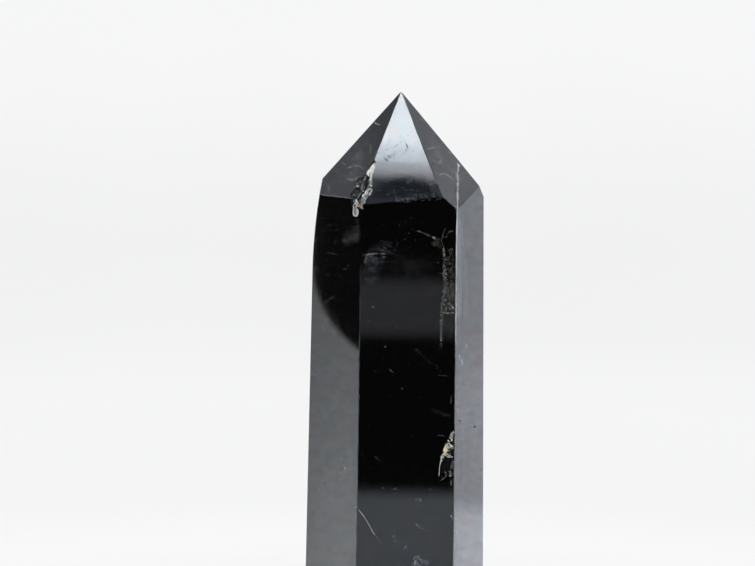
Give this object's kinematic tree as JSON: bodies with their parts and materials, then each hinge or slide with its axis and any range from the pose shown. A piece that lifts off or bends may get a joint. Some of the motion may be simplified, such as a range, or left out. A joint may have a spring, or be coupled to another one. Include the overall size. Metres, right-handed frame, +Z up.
{
  "type": "morion quartz crystal",
  "caption": "Polished six-sided point of nearly black smoky quartz, sawn flat at its foot so that it stands upright.",
  "frame": {"origin": "on the flat base, straight below the tip", "axes": "+Z runs up the crystal's long axis to the tip; -Y is the outward direction of the broad front side; +X is to the right of an onlooker who faces that side"},
  "size_m": [0.0243, 0.022, 0.0722],
  "materials": {
    "morion": "polished, nearly opaque black-brown glassy quartz"
  },
  "bodies": {
    "root": {"crystal": "morion"}
  },
  "joints": []
}
